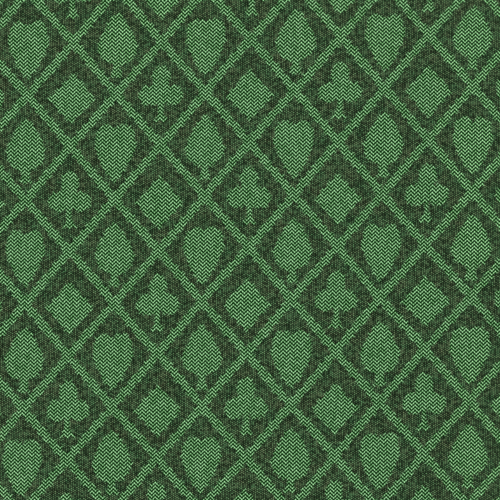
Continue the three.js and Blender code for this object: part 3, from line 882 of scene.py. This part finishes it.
def make_stitches(word, side):
    """A row of topstitching on each side of each sewn seam of the cover."""
    gap = 5.5 * MM
    pitch = 4.6 * MM
    half_length = 1.55 * MM
    stitches = []
    for along in [at + offset for at in SEWN_AT for offset in (-gap, gap)]:
        path = [Vector((side * p.x, p.y, z)) for p, z in pad_surface(along)[3:-2]]
        walked, target = 0.0, pitch / 2
        for a, b in zip(path, path[1:]):
            step = (b - a).length
            while target <= walked + step:
                here = a + (b - a) * ((target - walked) / step)
                half = (b - a).normalized() * half_length
                stitches.append(stitch(here - half, here + half, 0.36 * MM))
                target += pitch
            walked += step
    piece(join(f"{word}_rail_stitches", stitches), THREAD, f"{word}_half")


# ---- Skirts and boards ----


def sweep(name, side, section):
    """Runs a section of (inset, z) round a half's edge, with its grain along the way."""
    rings, grain = [], []
    for along in edge_stops(60 * MM, 48):
        spot, inwards = on_edge(along)
        places = [spot + inwards * inset for inset, z in section]
        rings.append([(side * p.x, p.y, z) for p, (inset, z) in zip(places, section)])
        grain += [(along, z, inset) for inset, z in section]
    return mesh_of(name, rings, grain=grain)


def soften(made, width):
    """Rounds the sharp edges, by a width in millimetres."""
    weld = made.modifiers.new("weld", "WELD")
    weld.merge_threshold = 0.002 * MM
    bevel = made.modifiers.new("edges", "BEVEL")
    bevel.width = width * MM
    bevel.segments = 2
    bevel.limit_method = "ANGLE"
    bevel.angle_limit = math.radians(35)
    bevel.harden_normals = True


def make_skirt(word, side):
    """A band of wood, with a cleat inside it that the rail core butts against."""
    thick = SKIRT_THICKNESS
    low, high = CORE_BOX[0].z, CORE_BOX[1].z
    radius = 4 * MM
    section = [(0, SKIRT_BOTTOM)] + arc((radius, SKIRT_TOP - radius), radius, 180, 90, 6)
    section += arc((thick - radius, SKIRT_TOP - radius), radius, 90, 0, 6)
    section += [(thick, high), (CLEAT_INSET, high), (CLEAT_INSET, low), (thick, low)]
    section.append((thick, SKIRT_BOTTOM))
    mesh = sweep(f"{word}_skirt_band", side, section)
    soften(piece(mesh, WOOD, f"{word}_half", [f"{word}_skirt"]), 0.9)


def make_base(word, side):
    """Film-faced, with its plies showing at the edges and in the cup holes."""
    inset = HALF_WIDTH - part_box(f"{word}_base_panel")[1].y
    rings = [half_loop(inset, SEAM_X, z, side, 48) for z in (SKIRT_BOTTOM, BASE_TOP)]
    mesh = mesh_of(f"{word}_bottom_board", rings)
    made = piece(mesh, LAMINATE, f"{word}_half", [f"{word}_base_panel"])
    bore_cups(made, word, SKIRT_BOTTOM - 5 * MM, BASE_TOP + 5 * MM)
    made.data.materials.append(BOARD)
    for face in made.data.polygons:
        if abs(face.normal.z) < 0.5:
            face.material_index = 1
    soften(made, 0.5)


def make_layers(word, side):
    """The deck board and the foam on it, under the cloth."""
    layers = [("deck", "deck_board", BOARD, "board"), ("foam_sheet", "surface_foam", FOAM, "foam")]
    for name, node, material, slot in layers:
        low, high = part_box(f"{word}_{node}")
        start = min(abs(low.x), abs(high.x))
        mesh = rounded_slab(f"{word}_{name}", side, HALF_WIDTH - high.y, start, low.z, high.z, 0.6 * MM)
        piece(mesh, material, f"{word}_half", [f"{word}_{node}"])


for word, side in SIDES.items():
    make_pad(word, side)
    make_stitches(word, side)
    make_skirt(word, side)
    make_base(word, side)
    make_layers(word, side)

# ---- Cups and feet ----

FEET = [(word, i, middle_of(f"{word}_foot_{i}")) for word in SIDES for i in range(1, 6)]
FOOT_SEAT = 3.6 * MM  # height of the screw in a foot


def mm_profile(points):
    return [(r * MM, z * MM) for r, z in points]


def make_cups():
    """Drop-in cups with a rolled flange, and a raised ring in the floor."""
    top = CUP_TOP / MM
    bottom = CUP_BOTTOM / MM
    rim = FLANGE_RADIUS / MM
    points = [(0, bottom), (33, bottom)]
    points += arc((33, bottom + 6), 6, -90, 0, 6)
    points += [(39, top - 1.3), (40, top - 1.2), (rim - 0.6, top - 1.2)]
    points += arc((rim - 0.6, top - 0.6), 0.6, -90, 90, 6)
    points += [(41, top)]
    points += arc((41, top - 3), 3, 90, 180, 8)
    points += [(38, bottom + 7)]
    points += arc((32, bottom + 7), 6, 0, -90, 8)
    points += [(27, bottom + 1), (26, bottom + 1.6), (24.5, bottom + 1.6)]
    points += [(23.5, bottom + 1), (0, bottom + 1)]
    mesh = lathe("cup", mm_profile(points), 96)
    mesh.materials.append(CUP_STEEL)
    for (word, i), centre in CUPS.items():
        node = f"{word}_cup_holder_{i}"
        place = (centre.x, centre.y, 0)
        made = piece(mesh, CUP_STEEL, f"{word}_half", [node], place)
        made.name = f"{word}_cup_{i}"


def make_feet():
    """Each is hollow underneath, round its screw."""
    low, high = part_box("right_foot_1")
    radius = (high.y - low.y) / 2 / MM
    top = high.z / MM
    seat = FOOT_SEAT / MM
    points = [(0, seat), (5.4, seat), (5.8, 3.2), (6.2, 0.7), (7.2, 0), (radius - 2.6, 0)]
    points += [(radius - 1.2, 0.5), (radius - 0.7, 1.6), (radius - 1.4, top), (0, top)]
    mesh = lathe("foot", mm_profile(points), 48)
    mesh.materials.append(RUBBER)
    for word, i, middle in FEET:
        place = (middle.x, middle.y, 0)
        made = piece(mesh, RUBBER, f"{word}_half", [f"{word}_foot_{i}"], place)
        made.name = f"{word}_rubber_foot_{i}"


# ---- Screws ----


def screw_mesh(radius, height):
    """A domed head that faces +Z, with a cross recess. Its seat is at z = 0."""
    dome = [(0, -0.4), (radius * 0.6, -0.4), (radius, 0), (radius, height * 0.25)]
    for a in (0.35, 0.7, 1.05, 1.35):
        dome.append((radius * math.cos(a), height * (0.25 + 0.75 * math.sin(a))))
    dome += [(0, height)]
    head = add("head", lathe("head", mm_profile(dome), 28))
    long, wide, deep = radius * 0.58, radius * 0.17, height * 0.35
    for a, b in ((long, wide), (wide, long)):
        top = [(a, b), (-a, b), (-a, -b), (a, -b)]
        rings = [[(x * 0.35 * MM, y * 0.35 * MM, deep * MM) for x, y in top]]
        rings.append([(x * MM, y * MM, (height + 0.5) * MM) for x, y in top])
        cut_away(head, mesh_of("cutter", rings))
    mesh = head.data
    bpy.data.objects.remove(head)
    return mesh


SCREWS = {}


def add_screw(body, kind, place, facing):
    """Puts a screw head on a surface. Each body's screws become one piece."""
    twist = Matrix.Rotation(len(SCREWS.get(body, [])) * 1.9, 4, "Z")
    turn = Vector(facing).to_track_quat("Z", "Y").to_matrix().to_4x4()
    SCREWS.setdefault(body, []).append((kind, Matrix.Translation(place) @ turn @ twist))


def make_screws():
    kinds = {"wood": (3.6, 1.5), "small": (2.6, 1.2), "flush": (4.2, 0.7)}
    kinds = {kind: screw_mesh(radius, height) for kind, (radius, height) in kinds.items()}
    for body, screws in SCREWS.items():
        meshes = []
        for kind, matrix in screws:
            mesh = kinds[kind].copy()
            mesh.transform(matrix)
            meshes.append(mesh)
        piece(join(f"{body}_screws", meshes), STEEL, body)
    for mesh in kinds.values():
        bpy.data.meshes.remove(mesh)


# ---- Handles ----

GRIP = 6 * MM  # half the height of a handle's bar
GRIP_REACH = 56 * MM  # from its middle to the middle of an arm
GRIP_BEND = 7 * MM
HANDLE_AXIS = 46 * MM  # height of the pins that it turns on


def grip_path(bottom, top):
    """The middle of the bail as (y, z) with its relative thickness, thinned down at its ends."""
    side, low = GRIP_REACH - GRIP_BEND, bottom + GRIP_BEND
    path = [(-GRIP_REACH, top)] + arc((-side, low), GRIP_BEND, 180, 270, 8)
    count = 40
    path += [(-side + 2 * side * i / count, bottom) for i in range(1, count)]
    path += arc((side, low), GRIP_BEND, 270, 360, 8) + [(GRIP_REACH, top)]
    ends = (0.05, 0.4, 0.8, 1.2)
    first = [(Vector((-GRIP_REACH, top + GRIP * math.cos(a))), math.sin(a)) for a in ends]
    last = [(Vector((-p.x, p.y)), size) for p, size in reversed(first)]
    return first + [(Vector(p), 1) for p in path] + last


def squared(share):
    """Turns a circle's cosine or sine into a rounded square's."""
    return math.copysign(abs(share) ** 0.6, share)


def make_handle(word):
    """A moulded bail with finger grooves, and the steel pins that it turns on."""
    low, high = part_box(f"{word}_handle")
    middle_x = (low.x + high.x) / 2
    thick = (high.x - low.x) / 2
    grooved, groove, groove_pitch = 42 * MM, 1.1 * MM, 21 * MM
    path = grip_path(low.z + GRIP, high.z - GRIP)
    rings = []
    for i, (p, size) in enumerate(path):
        way = (path[min(i + 1, len(path) - 1)][0] - path[max(i - 1, 0)][0]).normalized()
        inside = Vector((-way.y, way.x))
        ring = []
        for x, y in circle((0, 0), 1, 24):
            across, out = squared(x), squared(y)
            depth = GRIP * size
            if abs(p.x) < grooved and across > 0:
                depth -= groove * (0.5 + 0.5 * math.cos(p.x / groove_pitch * 2 * math.pi)) * across
            spot = p + inside * (depth * across)
            ring.append((middle_x + thick * out * (0.4 + 0.6 * size), spot.x, spot.y))
        rings.append(ring)
    mesh = mesh_of(f"{word}_grip", rings)
    piece(mesh, PLASTIC, f"{word}_handle", [f"{word}_handle"])
    pins = []
    for end in (-1, 1):
        profile = mm_profile([(0, 0), (2.7, 0), (3, 0.3), (3, 17.4), (2.6, 17.8), (0, 17.8)])
        pins.append(lathe("pin", profile, 24))
        lay_along_y(pins[-1], (middle_x, 52 * MM, HANDLE_AXIS), end)
    piece(join(f"{word}_grip_pins", pins), STEEL, f"{word}_handle")


def lay_along_y(mesh, place, end):
    """Turns a mesh's Z to face out at an end, from a place given for the back."""
    turn = Matrix.Rotation(-end * math.pi / 2, 4, "X")
    mesh.transform(Matrix.Translation((place[0], end * place[1], place[2])) @ turn)


# ---- Pivots ----

PIVOT_Z = middle_of("front_pivot_pin").z


def make_pivot_pin(end_word, end):
    """A domed bolt head outside and a hexagon nut inside, on one shank."""
    low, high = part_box(f"{end_word}_pivot_pin")
    near, far = sorted((abs(low.y), abs(high.y)))
    span = (far - near) / MM
    head = [(0, 0), (3.6, 0), (4, 0.4), (4, span - 3), (7.2, span - 3), (7.5, span - 2.7)]
    for a in (0.2, 0.5, 0.8, 1.1, 1.35):
        head.append((7.5 * math.cos(a), span - 2.4 + 2.4 * math.sin(a)))
    bolt = lathe("bolt", mm_profile(head + [(0, span)]), 48)
    hexagons = mm_profile([(5.6, 0.9), (6.2, 1.3), (6.2, 4.2)])
    nut = mesh_of("nut", [[(*p, z) for p in circle((0, 0), r, 6, 30)] for r, z in hexagons])
    mesh = join(f"{end_word}_pivot_bolt", [bolt, nut])
    lay_along_y(mesh, (0, near, PIVOT_Z), end)
    piece(mesh, STEEL, "left_half", [f"{end_word}_pivot_pin"])


def plate_outline():
    """The side view of a pivot plate on the right half, as (x, z): an ear on an arm."""
    low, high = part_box("front_inner_pivot_plate")
    corner = 6 * MM
    start, end = 4 * MM, -low.x
    bottom, top = low.z, 50 * MM
    arm_end = 34 * MM
    outline = arc((end - corner, bottom + corner), corner, -90, 0, 8)
    outline += arc((end - corner, top - corner), corner, 0, 90, 8)
    outline.append((arm_end, top))
    outline += arc((0, PIVOT_Z), high.z - PIVOT_Z, -20, 200, 48)
    outline.append((start, top - 2 * corner))
    return outline + arc((start + corner, bottom + corner), corner, 180, 270, 8)


def make_pivot_plate(end_word, end, kind, side):
    """The outer plate steps out smoothly, to pass over the ear of the inner one."""
    low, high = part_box(f"{end_word}_inner_pivot_plate")
    near, far = sorted((abs(low.y), abs(high.y)))
    rings = [[(x, y, z) for x, z in plate_outline()] for y in (near, far)]
    mesh = mesh_of(f"{end_word}_{kind}_plate", rings)
    work = bmesh.new()
    work.from_mesh(mesh)
    bend_start, bend_end = 13 * MM, 20 * MM
    step_out = far - near + FIT
    if kind == "outer":
        for i in range(8):
            x = bend_start + (bend_end - bend_start) * i / 7
            every = work.verts[:] + work.edges[:] + work.faces[:]
            bmesh.ops.bisect_plane(work, geom=every, plane_co=(x, 0, 0), plane_no=(1, 0, 0))
        for vert in work.verts:
            vert.co.y += step_out * smooth((bend_end - vert.co.x) / (bend_end - bend_start))
    for vert in work.verts:
        vert.co.x *= side
        vert.co.y *= end
    work.to_mesh(mesh)
    work.free()
    tidy(mesh)
    body = "left_half" if side < 0 else "right_half"
    made = piece(mesh, BLACK_STEEL, body, [f"{end_word}_{kind}_pivot_plate"])
    hole = circle((0, PIVOT_Z), 4.3 * MM, 40)
    reach = (end * (near - 2 * MM), end * (far + 6 * MM))
    cut_away(made, mesh_of("cutter", [[(x, y, z) for x, z in hole] for y in reach]))
    soften(made, 0.45)


for end_word, end in ENDS.items():
    make_pivot_pin(end_word, end)
    make_pivot_plate(end_word, end, "inner", -1)
    make_pivot_plate(end_word, end, "outer", 1)
make_cups()
make_feet()
for word in SIDES:
    make_handle(word)


# ---- The CAD pieces that stay, and where the screws are ----


def cad_material(name):
    for part, material in (("core", BOARD), ("bracket", PLASTIC), ("slide_bolt", BLACK_STEEL)):
        if part in name:
            return material
    return STEEL


for name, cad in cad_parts.items():
    if not cad.hide_render:
        cad.data.materials.clear()
        cad.data.materials.append(cad_material(name))
        if "core" not in name:
            soften(cad, 0.45)


def screw_hinges_and_brackets():
    plate_screws = ((30, 24), (48, 40), (66, 24), (80, 40))
    bracket_face = HALF_LENGTH + 2.3 * MM
    bracket_screw = 80.5 * MM
    for end_word, end in ENDS.items():
        face = abs(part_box(f"{end_word}_inner_pivot_plate")[0 if end < 0 else 1].y)
        for word, side in SIDES.items():
            for x, z in plate_screws:
                add_screw(f"{word}_half", "wood", (side * x * MM, end * face, z * MM), (0, end, 0))
        for word, side in SIDES.items():
            place = (side * bracket_face, end * bracket_screw, HANDLE_AXIS)
            add_screw(f"{word}_half", "wood", place, (side, 0, 0))


def screw_bolts():
    """Under the seam: three pairs in each bolt's guide on the left, and one in its keeper."""
    bolt_y, across, height = 200, 13, 6.9 * MM
    for end in ENDS.values():
        for x, word in ((-73, "left"), (-43, "left"), (-15, "left"), (17, "right")):
            for y in (bolt_y - across, bolt_y + across):
                add_screw(f"{word}_half", "small", (x * MM, end * y * MM, height), DOWN)


def screw_base(word, side):
    """Flush screws round the underside, clear of the cups, and one in each foot."""
    inset, clear = 34 * MM, 52 * MM
    count = round(EDGE_LENGTH / (145 * MM))
    for i in range(count):
        spot, inwards = on_edge(EDGE_LENGTH * (i + 0.5) / count)
        ground = spot + inwards * inset
        if min((centre - ground).length for centre in RIGHT_CUPS) >= clear:
            add_screw(f"{word}_half", "flush", (side * ground.x, ground.y, SKIRT_BOTTOM), DOWN)
    for foot_word, i, middle in FEET:
        if foot_word == word:
            add_screw(f"{word}_half", "wood", (middle.x, middle.y, FOOT_SEAT), DOWN)


screw_hinges_and_brackets()
screw_bolts()
for word, side in SIDES.items():
    screw_base(word, side)
make_screws()

# ---- Floor and light ----


def make_floor():
    mesh = bpy.data.meshes.new("floor")
    reach = 30
    corners = [(-reach, -reach, 0), (reach, -reach, 0), (reach, reach, 0), (-reach, reach, 0)]
    mesh.from_pydata(corners, [], [(0, 1, 2, 3)])
    mesh.materials.append(floor_material())
    add("floor", mesh)


def make_light(name, place, size, power):
    data = bpy.data.lights.new(name, "AREA")
    data.shape = "SQUARE"
    data.size = size
    data.energy = power
    light = add(name, data)
    light.location = place
    light.rotation_euler = (-Vector(place)).to_track_quat("-Z", "Y").to_euler()


def make_world():
    world = bpy.data.worlds.new("world")
    world.use_nodes = True
    background = world.node_tree.nodes["Background"]
    background.inputs["Color"].default_value = (0.95, 0.97, 1, 1)
    background.inputs["Strength"].default_value = 0.5
    bpy.context.scene.world = world
    bpy.context.scene.view_settings.view_transform = "Standard"


make_floor()
make_light("key", (-2.2, 2.4, 3.6), 2.2, 170)
make_light("fill", (3.0, -2.6, 3.0), 3.0, 60)
make_world()

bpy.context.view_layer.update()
